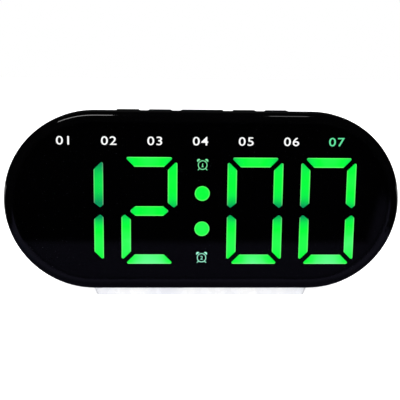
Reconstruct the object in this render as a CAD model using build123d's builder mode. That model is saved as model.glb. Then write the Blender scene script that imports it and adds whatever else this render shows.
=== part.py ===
from build123d import *

import os
from math import radians, sqrt, tan

# A digital LED desk clock: a smoked stadium-shaped lens in front of a four-digit display, a tapered
# rear shell with five keys on top, a battery bay behind a hinged door, and a pale foot.
# X is to the right, Y to the back, Z up. The origin is on the table, under the middle of the case.
# A depth is measured back from the front of the lens, a drop down from the lens's top edge, and an
# inset in from the lens's outline.

os.makedirs("parts", exist_ok=True)

# Face and case
face_width = 165.0
face_height = 75.0
case_depth = 38.0
table_gap = 5.5

front_y = -case_depth / 2
face_z = table_gap + face_height / 2
half_height = face_height / 2
cut_over = 1.0
BACK = Vector(0, 1, 0)
UP = Vector(0, 0, 1)

# Lens, a shallow tray of smoked acrylic
lens_wall = 2.0
lens_edge_radius = 4.0
lens_depth = 7.0

# Printed film behind the lens
film_gap = 0.15
film_thickness = 0.3
film_margin = 1.6
film_front = lens_wall + film_gap
film_back = film_front + film_thickness

# Front case: a thick plate with the light wells, a skirt and a lip that enters the rear shell
case_fit = 0.15
case_edge_radius = 1.7
case_step = 0.5
skirt_depth = 2.5
lip_depth = 2.0
lip_wall = 1.2
lip_fit = 0.12
skirt_back = lens_depth + skirt_depth

# Rear shell
shell_wall = 2.2
shell_taper = 5.5
shell_edge_radius = 4.0
draw = tan(radians(shell_taper))
shell_inside = case_depth - shell_wall
lip_inset = case_step + shell_wall + lip_depth * draw + lip_fit
pocket_inset = lip_inset + lip_wall

# Display
display_drop = 4.02
display_shift = -0.25
digit_width = 23.2
digit_height = 45.3
upright_stroke = 3.92
bar_stroke = 4.1
segment_gap = 2.0
middle_gap = 2.35
tip_reach = 1.35
tip_height = 1.4
inner_cut_height = 3.5
outer_cut_height = 2.65
window_radius = 0.6
inner_digit_x = 22.0
digit_pitch = 30.6
colon_radius = 3.14
colon_spread = 7.5
icon_well_radius = 3.2
icon_spread = 19.7
label_rise = 25.0
label_pitch = 18.8
label_shift = -1.2
label_well_width = 8.6
label_well_height = 5.2
diffuser_overlap = 0.3
diffuser_fit = 0.05
diffuser_thickness = 2.0

# Main board and what it carries
board_thickness = 1.6
board_fit = 0.2
board_back = lens_depth + board_thickness
led_length = 2.0
led_width = 1.25
led_height = 0.8
board_screw_x = 30.0
board_screw_z = 30.6
board_screw_radius = 0.95
board_screw_head_radius = 1.9
board_screw_head = 1.4
board_screw_length = 4.1
screw_fit = 0.05
screw_clearance = 0.25
screw_point_room = 0.5
drive_length_share = 0.6
drive_width_share = 0.3
head_round_share = 0.4
can_round_share = 0.2
drive_depth_share = 0.5
driver_chip_length = 17.9
driver_chip_width = 7.5
driver_chip_height = 2.3
driver_chip_x = 38.0
driver_chip_z = 10.0
driver_pin_count = 14
clock_chip_size = 10.0
clock_chip_height = 1.6
clock_chip_x = 20.0
clock_chip_z = -1.0
clock_pin_count = 11
pin_length = 1.0
pin_width = 0.4
pin_thickness = 0.2
pin_pitch = 1.27
fine_pin_pitch = 0.8
crystal_length = 11.0
crystal_width = 4.6
crystal_height = 3.4
crystal_x = 32.0
crystal_z = -9.0
capacitor_radius = 3.15
capacitor_height = 7.0
capacitor_pitch = 8.0
capacitor_gap = 1.9
capacitor_reach = capacitor_pitch / 2 + capacitor_radius
capacitor_x = -driver_chip_x - driver_chip_length / 2 - capacitor_gap - capacitor_reach
connector_height = 5.0
connector_depth = 4.5
ribbon_connector_width = 12.0
lead_connector_width = 5.5

# Case screws and their bosses
case_screw_inset = 12.5
case_screw_x = face_width / 2 - case_screw_inset
case_screw_z = 9.5
boss_radius = 3.0
boss_meeting_depth = 24.0
boss_clearance = 0.3
pilot_depth = 10.0
case_screw_radius = 1.25
case_screw_head_radius = 2.6
case_screw_head = 2.0
case_screw_length = 11.5
shell_boss_wall = 1.4
counterbore_radius = 3.0
boss_floor = 2.0

# Keys on top, their switches and board
key_row_shift = 0.2
key_width = 10.2
snooze_width = 18.6
inner_key_x = 18.2
outer_key_x = 32.1
key_length = 7.0
key_depth = 21.0
key_drop = 0.7
key_corner_radius = 1.2
key_crown_radius = 0.7
key_fit = 0.25
key_travel = 0.5
key_flange = 0.9
key_flange_side = 0.5
key_flange_thickness = 1.0
key_flange_room = 0.2
key_stem_radius = 1.7
key_stem_length = 1.5
plunger_radius = 1.6
plunger_reserve = 0.5
plunger_rise = key_travel + plunger_reserve
plunger_seat = 0.6
plunger_fit = 0.1
switch_size = 6.0
switch_height = 3.4
switch_bore_depth = 1.3
key_board_length = 92.0
key_board_width = 9.5
post_x = 43.0
post_radius = 2.5
post_pilot_depth = 4.0
post_screw_radius = 0.75
post_screw_head_radius = 1.7
post_screw_head = 1.2
post_screw_length = 5.0
key_slope_depth = key_depth + key_length / 2 + key_flange
flange_drop = case_step + shell_wall + (key_slope_depth - skirt_back) * draw + key_flange_room
stem_drop = flange_drop + key_flange_thickness + key_stem_length
switch_drop = stem_drop + plunger_rise
key_board_drop = switch_drop + switch_height

# Battery bay, cells, contacts and door
bay_rise = -8.0
bay_width = 50.5
bay_height = 22.5
bay_wall = 1.4
cell_radius = 5.2
cell_length = 43.6
cell_nub_radius = 1.9
cell_nub_length = 0.8
cell_spacing = 10.9
cell_seat = 0.25
cell_room = 0.75
contact_thickness = 0.4
contact_width = 8.0
contact_height = 8.6
contact_corner_radius = 1.0
contact_leaf_chord = 7.4
contact_leaf_width = 5.0
door_width = 56.0
door_height = 28.0
door_thickness = 2.0
door_fit = 0.2
door_seat = 0.1
door_pin_radius = 0.55
door_pin_fit = 0.07
door_pin_length = 1.6
door_pin_room = 0.3
door_frame_margin = 3.0
frame_width = door_width + 2 * door_frame_margin
frame_height = door_height + 2 * door_frame_margin
bay_floor_depth = case_depth - door_thickness - cell_room - 2 * cell_radius - cell_seat
door_frame_depth = 2.0
door_corner_radius = 1.2
groove_length = 16.0
groove_width = 0.8
groove_depth = 0.4
groove_pitch = 1.8
groove_count = 4
groove_top_margin = 3.6
scoop_radius = 6.0
scoop_depth = 1.0

# Sounder behind the slots
sounder_rise = -2.0
sounder_radius = 12.0
sounder_height = 4.7
sounder_fit = 0.1
sounder_gap = 0.3
sounder_ring_wall = 1.2
sounder_ring_radius = sounder_radius + sounder_fit + sounder_ring_wall
sounder_ring_depth = 6.0
sounder_hole_radius = 1.5
sounder_hole_depth = 1.0
slot_pitch = 3.6
slot_width = 1.4
slot_field_radius = 10.0
slot_rows_each_side = 2

# Power socket
socket_rise = -16.0
socket_body = 9.6
socket_body_length = 10.0
socket_nose_radius = 3.7
socket_nose_fit = 0.15
socket_nose_recess = 0.3
socket_bore_radius = 2.85
socket_bore_depth = 9.5
socket_pin_radius = 1.0
socket_pin_recess = 1.2
pin_round_share = 0.5

# The row on the back between the case screws: bay, socket and sounder, with equal gaps
back_row_gaps = 4
back_row_reach = case_screw_x - counterbore_radius - shell_boss_wall
back_row_filled = frame_width + socket_body + 2 * sounder_ring_radius
back_row_gap = (2 * back_row_reach - back_row_filled) / back_row_gaps
bay_x = back_row_gap + frame_width / 2 - back_row_reach
socket_x = bay_x + frame_width / 2 + back_row_gap + socket_body / 2
sounder_x = socket_x + socket_body / 2 + back_row_gap + sounder_ring_radius

# Leads inside the case
lead_radius = 0.55
lead_pitch = 1.8
battery_lead_rise = -3.0
sounder_lead_rise = 2.0
socket_lead_rise = -11.0
ribbon_x = 8.0
ribbon_rise = 18.0
ribbon_depth = 20.0
ribbon_width = 10.0
ribbon_thickness = 0.6
ribbon_bend = 3.0

# Foot, its pegs and pads
foot_setback = 0.4
foot_back_margin = 4.6
foot_front = skirt_back + foot_setback
foot_length = case_depth - foot_front - foot_back_margin
foot_width = 96.6
foot_draft = 0.8
foot_end_draft = 2.9
foot_corner_radius = 2.5
foot_lift = 0.25
foot_blank_height = 9.0
peg_radius = 2.0
peg_fit = 0.1
peg_pitch = 30.0
peg_rise = 1.0
pad_radius = 4.2
pad_thickness = 1.25
pad_fit = 0.1
pad_x = 34.0
pad_spread = 5.4


def face_plane(depth, rise=0, along=0):
    """A plane parallel to the face, facing the viewer; its middle is `rise` over the face's middle."""
    return Plane(origin=(along, front_y + depth, face_z + rise), x_dir=(1, 0, 0), z_dir=(0, -1, 0))


def level_plane(drop, depth=0):
    """A level plane `drop` under the lens's top edge, with its origin `depth` behind the front."""
    return Plane(origin=(0, front_y + depth, face_z + half_height - drop), x_dir=(1, 0, 0), z_dir=(0, 0, 1))


def stadium(inset, depth):
    """The face's outline, drawn `inset` in from its edge and `depth` behind the front."""
    with BuildSketch(face_plane(depth)) as outline:
        SlotOverall(face_width - 2 * inset, face_height - 2 * inset)
    return outline.sketch


def finish(piece, name):
    """Label a finished piece and write its file."""
    piece.part.label = name
    export_step(piece.part, "parts/" + name + ".step")


def segment_outline(letter):
    """The corners of one display segment, from the middle of its digit."""
    side = digit_width / 2
    top = digit_height / 2
    miter = segment_gap / sqrt(2)
    bar_end = side - miter
    tip = side - tip_reach
    inner = side - upright_stroke
    cut_slope = (tip - inner) / (inner_cut_height - tip_height)
    bar_tip = tip + tip_height * cut_slope - middle_gap * sqrt(1 + cut_slope**2)
    bar_shoulder = bar_tip - bar_stroke / 2 * cut_slope
    upright = [
        (side, top - miter),
        (side, outer_cut_height),
        (tip, tip_height),
        (inner, inner_cut_height),
        (inner, top - miter - upright_stroke),
    ]
    bar = [
        (-bar_end, top),
        (bar_end, top),
        (bar_end - bar_stroke, top - bar_stroke),
        (bar_stroke - bar_end, top - bar_stroke),
    ]
    middle = [
        (-bar_tip, 0),
        (-bar_shoulder, bar_stroke / 2),
        (bar_shoulder, bar_stroke / 2),
        (bar_tip, 0),
        (bar_shoulder, -bar_stroke / 2),
        (-bar_shoulder, -bar_stroke / 2),
    ]
    return {
        "a": bar,
        "b": upright,
        "c": [(u, -v) for u, v in upright],
        "d": [(u, -v) for u, v in bar],
        "e": [(-u, -v) for u, v in upright],
        "f": [(-u, v) for u, v in upright],
        "g": middle,
    }[letter]


digits = {
    "hour_tens": (-inner_digit_x - digit_pitch, "bc"),
    "hour_units": (-inner_digit_x, "abdeg"),
    "minute_tens": (inner_digit_x, "abcdef"),
    "minute_units": (inner_digit_x + digit_pitch, "abcdef"),
}
colon_places = [(display_shift, colon_spread - display_drop), (display_shift, -colon_spread - display_drop)]
icon_places = [(display_shift, icon_spread - display_drop), (display_shift, -icon_spread - display_drop)]
label_places = [(label_shift + label_pitch * number, label_rise) for number in range(-3, 4)]


def segments(digit, letters, depth, growth=0, radius=0):
    """Outlines of some of a digit's segments, grown by `growth`, with corners rounded by `radius`."""
    middle = display_shift + digits[digit][0]
    with BuildSketch(face_plane(depth, -display_drop, middle)) as outlines:
        for letter in letters:
            with BuildSketch(mode=Mode.PRIVATE) as one:
                Polygon(*segment_outline(letter), align=None)
                if radius:
                    fillet(one.vertices(), radius)
                if growth:
                    offset(amount=growth, kind=Kind.INTERSECTION)
            add(one.sketch)
    return outlines.sketch


def discs(places, radius, depth):
    """Round windows or lights at places on the face."""
    with BuildSketch(face_plane(depth)) as outlines:
        with Locations(*places):
            Circle(radius)
    return outlines.sketch


def label_bars(growth, depth):
    """The seven rectangles behind the row of labels."""
    with BuildSketch(face_plane(depth)) as outlines:
        with Locations(*label_places):
            Rectangle(label_well_width + 2 * growth, label_well_height + 2 * growth)
    return outlines.sketch


def unlit(digit):
    """The letters of a digit's dark segments."""
    return [letter for letter in "abcdefg" if letter not in digits[digit][1]]


# Lens
with BuildPart() as lens_cavity:
    extrude(stadium(lens_wall, lens_wall), amount=lens_depth, dir=BACK)
    fillet(lens_cavity.faces().sort_by(Axis.Y)[0].edges(), lens_edge_radius - lens_wall)

with BuildPart() as front_lens:
    extrude(stadium(0, 0), amount=lens_depth, dir=BACK)
    fillet(front_lens.faces().sort_by(Axis.Y)[0].edges(), lens_edge_radius)
    add(lens_cavity.part, mode=Mode.SUBTRACT)
finish(front_lens, "front_lens")

# Film, black but for the windows of the segments and the colon
with BuildPart() as mask_film:
    extrude(stadium(lens_wall + film_margin, film_front), amount=film_thickness, dir=BACK)
    for digit in digits:
        windows = segments(digit, "abcdefg", film_front, radius=window_radius)
        extrude(windows, amount=film_thickness, dir=BACK, mode=Mode.SUBTRACT)
    windows = discs(colon_places, colon_radius, film_front)
    extrude(windows, amount=film_thickness, dir=BACK, mode=Mode.SUBTRACT)
finish(mask_film, "mask_film")

def four_corners(along, rise):
    """Four places on the face, two by two about its middle."""
    return [(x, z) for x in (-along, along) for z in (-rise, rise)]


case_screw_places = four_corners(case_screw_x, case_screw_z)
board_screw_places = four_corners(board_screw_x, board_screw_z)

# Front case
plate_thickness = lens_depth - film_back
well_growth = diffuser_overlap + diffuser_fit

with BuildPart() as front_case:
    extrude(stadium(lens_wall + case_fit, film_back), amount=plate_thickness, dir=BACK)
    fillet(front_case.faces().sort_by(Axis.Y)[0].edges(), case_edge_radius)
    extrude(stadium(case_step, lens_depth), amount=skirt_depth, dir=BACK)
    extrude(stadium(lip_inset, skirt_back), amount=lip_depth, dir=BACK)
    pocket = stadium(pocket_inset, lens_depth)
    extrude(pocket, amount=skirt_depth + lip_depth, dir=BACK, mode=Mode.SUBTRACT)
    bosses = discs(case_screw_places, boss_radius, lens_depth)
    extrude(bosses, amount=boss_meeting_depth - lens_depth, dir=BACK)
    for digit in digits:
        wells = segments(digit, "abcdefg", film_back, growth=well_growth)
        extrude(wells, amount=plate_thickness, dir=BACK, mode=Mode.SUBTRACT)
    for well in (
        discs(colon_places, colon_radius + well_growth, film_back),
        discs(icon_places, icon_well_radius, film_back),
        label_bars(0, film_back),
    ):
        extrude(well, amount=plate_thickness, dir=BACK, mode=Mode.SUBTRACT)
    pilots = discs(case_screw_places, case_screw_radius + screw_fit, boss_meeting_depth - pilot_depth)
    extrude(pilots, amount=pilot_depth, dir=BACK, mode=Mode.SUBTRACT)
    board_pilot_depth = board_screw_length - board_thickness + screw_point_room
    pilots = discs(board_screw_places, board_screw_radius + screw_fit, lens_depth - board_pilot_depth)
    extrude(pilots, amount=board_pilot_depth, dir=BACK, mode=Mode.SUBTRACT)
finish(front_case, "front_case")

# Diffusers in the wells, one set for each digit, and the dark ones together
for digit in digits:
    with BuildPart() as lit_segments:
        lit = segments(digit, digits[digit][1], film_back, growth=diffuser_overlap)
        extrude(lit, amount=diffuser_thickness, dir=BACK)
    finish(lit_segments, digit + "_segments")

with BuildPart() as unlit_segments:
    for digit in digits:
        dark = segments(digit, unlit(digit), film_back, growth=diffuser_overlap)
        extrude(dark, amount=diffuser_thickness, dir=BACK)
finish(unlit_segments, "unlit_segments")

with BuildPart() as colon_dots:
    dots = discs(colon_places, colon_radius + diffuser_overlap, film_back)
    extrude(dots, amount=diffuser_thickness, dir=BACK)
finish(colon_dots, "colon_dots")

with BuildPart() as icon_windows:
    rounds = discs(icon_places, icon_well_radius - diffuser_fit, film_back)
    extrude(rounds, amount=diffuser_thickness, dir=BACK)
finish(icon_windows, "icon_windows")

with BuildPart() as label_windows:
    extrude(label_bars(-diffuser_fit, film_back), amount=diffuser_thickness, dir=BACK)
finish(label_windows, "label_windows")

# Main board, its lights and its parts
with BuildPart() as main_board:
    extrude(stadium(pocket_inset + board_fit, lens_depth), amount=board_thickness, dir=BACK)
    holes = discs(case_screw_places, boss_radius + boss_clearance, lens_depth)
    extrude(holes, amount=board_thickness, dir=BACK, mode=Mode.SUBTRACT)
    holes = discs(board_screw_places, board_screw_radius + screw_clearance, lens_depth)
    extrude(holes, amount=board_thickness, dir=BACK, mode=Mode.SUBTRACT)
finish(main_board, "main_board")

segment_side = (digit_width - upright_stroke) / 2
segment_top = (digit_height - bar_stroke) / 2
segment_middle = (inner_cut_height + digit_height / 2) / 2
led_spots = {
    "a": (0, segment_top),
    "b": (segment_side, segment_middle),
    "c": (segment_side, -segment_middle),
    "d": (0, -segment_top),
    "e": (-segment_side, -segment_middle),
    "f": (-segment_side, segment_middle),
    "g": (0, 0),
}
led_places = colon_places + icon_places + label_places
for digit in digits:
    for along, rise in led_spots.values():
        led_places.append((display_shift + digits[digit][0] + along, rise - display_drop))

with BuildPart(face_plane(lens_depth)) as segment_leds:
    with Locations(*led_places):
        Box(led_length, led_width, led_height, align=(Align.CENTER, Align.CENTER, Align.MIN))
finish(segment_leds, "segment_leds")

BEHIND = (Align.CENTER, Align.CENTER, Align.MAX)

with BuildPart(face_plane(board_back)) as driver_chips:
    for along in (-driver_chip_x, driver_chip_x):
        with Locations((along, driver_chip_z)):
            Box(driver_chip_length, driver_chip_width, driver_chip_height, align=BEHIND)
            with GridLocations(pin_pitch, driver_chip_width + pin_length, driver_pin_count, 2):
                Box(pin_width, pin_length, pin_thickness, align=BEHIND)
finish(driver_chips, "driver_chips")

with BuildPart(face_plane(board_back)) as clock_chip:
    with Locations((clock_chip_x, clock_chip_z)):
        Box(clock_chip_size, clock_chip_size, clock_chip_height, align=BEHIND)
        with GridLocations(fine_pin_pitch, clock_chip_size + pin_length, clock_pin_count, 2):
            Box(pin_width, pin_length, pin_thickness, align=BEHIND)
        with GridLocations(clock_chip_size + pin_length, fine_pin_pitch, 2, clock_pin_count):
            Box(pin_length, pin_width, pin_thickness, align=BEHIND)
finish(clock_chip, "clock_chip")

with BuildPart() as crystal:
    with BuildSketch(face_plane(board_back, crystal_z, crystal_x)):
        SlotOverall(crystal_length, crystal_width)
    extrude(amount=crystal_height, dir=BACK)
finish(crystal, "crystal")

with BuildPart() as capacitors:
    with BuildSketch(face_plane(board_back, 0, capacitor_x)):
        with GridLocations(capacitor_pitch, 0, 2, 1):
            Circle(capacitor_radius)
    extrude(amount=capacitor_height, dir=BACK)
    fillet(capacitors.faces().sort_by(Axis.Y)[-2:].edges(), capacitor_radius * can_round_share)
finish(capacitors, "capacitors")

lead_plugs = {
    "battery": (bay_x, battery_lead_rise),
    "sounder": (sounder_x, sounder_lead_rise),
    "socket": (socket_x, socket_lead_rise),
}
with BuildPart(face_plane(board_back)) as board_connectors:
    with Locations(*lead_plugs.values()):
        Box(lead_connector_width, connector_depth, connector_height, align=BEHIND)
    with Locations((ribbon_x, ribbon_rise)):
        Box(ribbon_connector_width, connector_depth, connector_height, align=BEHIND)
finish(board_connectors, "board_connectors")


def rear_plane(depth, rise=0, along=0):
    """A plane parallel to the face that looks to the back."""
    return Plane(origin=(along, front_y + depth, face_z + rise), x_dir=(-1, 0, 0), z_dir=(0, 1, 0))


def pan_screw(plane, shank, length, head, height):
    """A cross-head screw whose head lies on the plane and stands out along its normal."""
    with BuildPart() as screw:
        with BuildSketch(plane):
            Circle(head)
        extrude(amount=height)
        fillet(screw.faces().sort_by(Axis(plane.origin, plane.z_dir))[-1].edges(), height * head_round_share)
        with BuildSketch(plane.offset(height)):
            Rectangle(2 * head * drive_length_share, head * drive_width_share)
            Rectangle(head * drive_width_share, 2 * head * drive_length_share)
        extrude(amount=-height * drive_depth_share, mode=Mode.SUBTRACT)
        with BuildSketch(plane):
            Circle(shank)
        extrude(amount=-length)
    return screw.part


board_screw_sizes = (board_screw_radius, board_screw_length, board_screw_head_radius, board_screw_head)
with BuildPart() as board_screws:
    for along, rise in board_screw_places:
        add(pan_screw(rear_plane(board_back, rise, along), *board_screw_sizes))
finish(board_screws, "board_screws")

case_screw_sizes = (case_screw_radius, case_screw_length, case_screw_head_radius, case_screw_head)
with BuildPart() as case_screws:
    for along, rise in case_screw_places:
        add(pan_screw(rear_plane(boss_meeting_depth + boss_floor, rise, along), *case_screw_sizes))
finish(case_screws, "case_screws")


def shell_form(inset, depth_from, depth_to, radius):
    """The shell's tapered form from one depth to another, its back edge rounded."""
    near = inset + (depth_from - skirt_back) * draw
    far = inset + (depth_to - skirt_back) * draw
    with BuildPart() as form:
        loft([stadium(near, depth_from), stadium(far, depth_to)])
        fillet(form.faces().sort_by(Axis.Y)[-1].edges(), radius)
    return form.part


shell_outside = shell_form(case_step, skirt_back, case_depth, shell_edge_radius)
shell_hollow = shell_form(case_step + shell_wall, skirt_back, shell_inside, shell_edge_radius - shell_wall)

# Where the keys stand, and how wide each is
keys = {
    "mode_key": (-outer_key_x, key_width),
    "set_key": (-inner_key_x, key_width),
    "snooze_key": (0, snooze_width),
    "up_key": (inner_key_x, key_width),
    "down_key": (outer_key_x, key_width),
}
key_places = {name: key_row_shift + along for name, (along, width) in keys.items()}
post_places = [(key_row_shift + way * post_x, 0) for way in (-1, 1)]


def key_outline(name, drop, growth=0, side_growth=0, radius=key_corner_radius):
    """A key's outline on a level plane, grown to the front and back, and to its sides."""
    with BuildSketch(level_plane(drop, key_depth)) as outline:
        with Locations((key_places[name], 0)):
            RectangleRounded(keys[name][1] + 2 * side_growth, key_length + 2 * growth, radius)
    return outline.sketch


def bay_rectangle(width, height, depth, radius=0):
    """A rectangle about the middle of the battery bay."""
    with BuildSketch(face_plane(depth, bay_rise, bay_x)) as outline:
        if radius:
            RectangleRounded(width, height, radius)
        else:
            Rectangle(width, height)
    return outline.sketch


def side_plane(along, depth, rise, way=1):
    """An upright plane across the case that looks along X, to the right or, with way -1, to the left."""
    return Plane(origin=(along, front_y + depth, face_z + rise), x_dir=(0, 1, 0), z_dir=(way, 0, 0))


door_front = case_depth - door_thickness
door_hinge_depth = case_depth - door_thickness / 2
door_hinge_rise = bay_rise - door_height / 2 + door_thickness / 2
ledge_depth = door_front - door_seat
peg_places = [(along, 0) for along in (-peg_pitch, 0, peg_pitch)]
foot_middle = foot_front + foot_length / 2
foot_climb = (foot_middle - skirt_back) * draw
shell_underside = face_height - case_step

# Rear shell
with BuildPart() as rear_shell:
    add(shell_outside)
    add(shell_hollow, mode=Mode.SUBTRACT)
    # Key openings, and the posts that carry the key board
    for name in keys:
        opening = key_outline(name, flange_drop, key_fit, key_fit, key_corner_radius + key_fit)
        extrude(opening, amount=flange_drop, dir=UP, mode=Mode.SUBTRACT)
    post_top_drop = case_step + shell_wall / 2 + (key_depth - skirt_back) * draw
    with BuildSketch(level_plane(key_board_drop, key_depth)):
        with Locations(*post_places):
            Circle(post_radius)
    extrude(amount=key_board_drop - post_top_drop)
    with BuildSketch(level_plane(key_board_drop, key_depth)):
        with Locations(*post_places):
            Circle(post_screw_radius + screw_fit)
    extrude(amount=post_pilot_depth, mode=Mode.SUBTRACT)
    # Battery bay
    bay_box_depth = bay_floor_depth - bay_wall
    bay_box = bay_rectangle(bay_width + 2 * bay_wall, bay_height + 2 * bay_wall, bay_box_depth)
    extrude(bay_box, amount=shell_inside - bay_box_depth, dir=BACK)
    frame_rectangle = bay_rectangle(frame_width, frame_height, shell_inside - door_frame_depth)
    extrude(frame_rectangle, amount=door_frame_depth, dir=BACK)
    bay_hollow = bay_rectangle(bay_width, bay_height, bay_floor_depth)
    extrude(bay_hollow, amount=case_depth, dir=BACK, mode=Mode.SUBTRACT)
    door_recess = bay_rectangle(door_width + 2 * door_fit, door_height + 2 * door_fit, ledge_depth)
    extrude(door_recess, amount=case_depth, dir=BACK, mode=Mode.SUBTRACT)
    pin_reach = door_width / 2 + door_pin_length + door_pin_room
    with BuildSketch(side_plane(bay_x - pin_reach, door_hinge_depth, door_hinge_rise)):
        Circle(door_pin_radius + door_pin_fit)
    extrude(amount=2 * pin_reach, mode=Mode.SUBTRACT)
    with BuildSketch(rear_plane(case_depth - scoop_depth, bay_rise + door_height / 2, bay_x)):
        Circle(scoop_radius)
    extrude(amount=case_depth, mode=Mode.SUBTRACT)
    # Screw bosses
    shell_boss = discs(case_screw_places, counterbore_radius + shell_boss_wall, boss_meeting_depth)
    extrude(shell_boss, amount=shell_inside - boss_meeting_depth, dir=BACK)
    screw_holes = discs(case_screw_places, case_screw_radius + screw_clearance, boss_meeting_depth)
    extrude(screw_holes, amount=case_depth, dir=BACK, mode=Mode.SUBTRACT)
    counterbores = discs(case_screw_places, counterbore_radius, boss_meeting_depth + boss_floor)
    extrude(counterbores, amount=case_depth, dir=BACK, mode=Mode.SUBTRACT)
    # Sounder ring and slots
    with BuildSketch(face_plane(shell_inside - sounder_ring_depth, sounder_rise, sounder_x)):
        Circle(sounder_ring_radius)
        Circle(sounder_radius + sounder_fit, mode=Mode.SUBTRACT)
    extrude(amount=sounder_ring_depth, dir=BACK)
    with BuildSketch(face_plane(shell_inside - cut_over, sounder_rise, sounder_x)):
        for row in range(-slot_rows_each_side, slot_rows_each_side + 1):
            with Locations((0, row * slot_pitch)):
                SlotOverall(2 * sqrt(slot_field_radius**2 - (row * slot_pitch) ** 2), slot_width)
    extrude(amount=case_depth, dir=BACK, mode=Mode.SUBTRACT)
    # Power socket opening
    with BuildSketch(face_plane(shell_inside - cut_over, socket_rise, socket_x)):
        Circle(socket_nose_radius + socket_nose_fit)
    extrude(amount=case_depth, dir=BACK, mode=Mode.SUBTRACT)
    # Holes for the foot's pegs
    with BuildSketch(level_plane(shell_underside + cut_over, foot_middle)):
        with Locations(*peg_places):
            Circle(peg_radius + peg_fit)
    extrude(amount=2 * cut_over + shell_wall + foot_climb, mode=Mode.SUBTRACT)
finish(rear_shell, "rear_shell")

# Keys, each with its switch plunger
for name in keys:
    with BuildPart() as key:
        cap = key_outline(name, flange_drop)
        extrude(cap, amount=flange_drop - key_drop, dir=UP)
        fillet(key.faces().sort_by(Axis.Z)[-1].edges(), key_crown_radius)
        flange = key_outline(name, flange_drop + key_flange_thickness, key_flange, key_flange_side)
        extrude(flange, amount=key_flange_thickness, dir=UP)
        with BuildSketch(level_plane(stem_drop, key_depth)):
            with Locations((key_places[name], 0)):
                Circle(key_stem_radius)
        extrude(amount=key_stem_length)
    finish(key, name)
    with BuildPart() as plunger:
        with BuildSketch(level_plane(switch_drop + plunger_seat, key_depth)):
            with Locations((key_places[name], 0)):
                Circle(plunger_radius)
        extrude(amount=plunger_seat + plunger_rise)
    finish(plunger, name.replace("key", "plunger"))

with BuildPart() as switch_bodies:
    for along in key_places.values():
        with BuildSketch(level_plane(key_board_drop, key_depth)):
            with Locations((along, 0)):
                Rectangle(switch_size, switch_size)
        extrude(amount=switch_height)
        with BuildSketch(level_plane(switch_drop + switch_bore_depth, key_depth)):
            with Locations((along, 0)):
                Circle(plunger_radius + plunger_fit)
        extrude(amount=switch_bore_depth, mode=Mode.SUBTRACT)
finish(switch_bodies, "switch_bodies")

key_board_under_drop = key_board_drop + board_thickness
with BuildPart() as key_board:
    with BuildSketch(level_plane(key_board_under_drop, key_depth)):
        with Locations((key_row_shift, 0)):
            Rectangle(key_board_length, key_board_width)
        with Locations(*post_places):
            Circle(post_screw_radius + screw_clearance, mode=Mode.SUBTRACT)
    extrude(amount=board_thickness)
finish(key_board, "key_board")

post_screw_sizes = (post_screw_radius, post_screw_length, post_screw_head_radius, post_screw_head)
with BuildPart() as key_board_screws:
    for along, depth in post_places:
        seat = level_plane(key_board_under_drop, key_depth + depth).origin + Vector(along, 0, 0)
        add(pan_screw(Plane(origin=seat, x_dir=(1, 0, 0), z_dir=(0, 0, -1)), *post_screw_sizes))
finish(key_board_screws, "key_board_screws")

# Ribbon between the two boards
board_side = front_y + board_back + connector_height
under_board_z = face_z + half_height - key_board_under_drop
with BuildPart() as key_ribbon:
    with BuildLine() as route:
        FilletPolyline(
            (ribbon_x, front_y + ribbon_depth, under_board_z),
            (ribbon_x, front_y + ribbon_depth, face_z + ribbon_rise),
            (ribbon_x, board_side, face_z + ribbon_rise),
            radius=ribbon_bend,
        )
    with BuildSketch(Plane(origin=route.line @ 0, x_dir=(1, 0, 0), z_dir=route.line % 0)):
        Rectangle(ribbon_width, ribbon_thickness)
    sweep()
finish(key_ribbon, "key_ribbon")


def lead_pair(start_depth, start_rise, end_rise, along):
    """Two insulated leads, run side by side in a gentle S from a part to its plug on the main board."""
    start = Vector(along, front_y + start_depth, face_z + start_rise)
    end = Vector(along, board_side, face_z + end_rise)
    with BuildPart() as leads:
        for side in (-lead_pitch / 2, lead_pitch / 2):
            shift = Vector(side, 0, 0)
            middle = (start + end) * (1 / 2) + shift
            with BuildLine() as route:
                TangentArc(start + shift, middle, tangent=(0, -1, 0))
                TangentArc(middle, end + shift, tangent=route.line % 1)
            with BuildSketch(Plane(origin=start + shift, x_dir=(1, 0, 0), z_dir=(0, -1, 0))) as section:
                Circle(lead_radius)
            sweep(section.sketch, path=route.line)
    return leads


finish(lead_pair(bay_floor_depth - bay_wall, bay_rise, battery_lead_rise, bay_x), "battery_leads")
sounder_front = shell_inside - sounder_gap - sounder_height
finish(lead_pair(sounder_front, sounder_rise, sounder_lead_rise, sounder_x), "sounder_leads")
socket_front = shell_inside - socket_body_length
finish(lead_pair(socket_front, socket_rise, socket_lead_rise, socket_x), "socket_leads")

# Cells, side by side and in opposite directions, with a plate at one end and a sprung leaf at the other
cell_depth = bay_floor_depth + cell_seat + cell_radius
half_bay = bay_width / 2
cell_ways = {1: bay_rise + cell_spacing / 2, -1: bay_rise - cell_spacing / 2}
plate_face = half_bay - contact_thickness
cell_shoulder = plate_face - cell_nub_length
leaf_reach = 2 * plate_face - cell_nub_length - cell_length
leaf_half_chord = contact_leaf_chord / 2
leaf_radius = (leaf_half_chord**2 + leaf_reach**2) / (2 * leaf_reach)

with BuildPart() as battery_cells:
    for way, rise in cell_ways.items():
        with BuildSketch(side_plane(bay_x + way * cell_shoulder, cell_depth, rise, way)):
            Circle(cell_radius)
        extrude(amount=-cell_length)
        with BuildSketch(side_plane(bay_x + way * cell_shoulder, cell_depth, rise, way)):
            Circle(cell_nub_radius)
        extrude(amount=cell_nub_length)
finish(battery_cells, "battery_cells")

with BuildPart() as contact_plates:
    for way, rise in cell_ways.items():
        with BuildSketch(side_plane(bay_x + way * plate_face, cell_depth, rise, way)):
            RectangleRounded(contact_width, contact_height, contact_corner_radius)
        extrude(amount=contact_thickness)
finish(contact_plates, "contact_plates")

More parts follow.
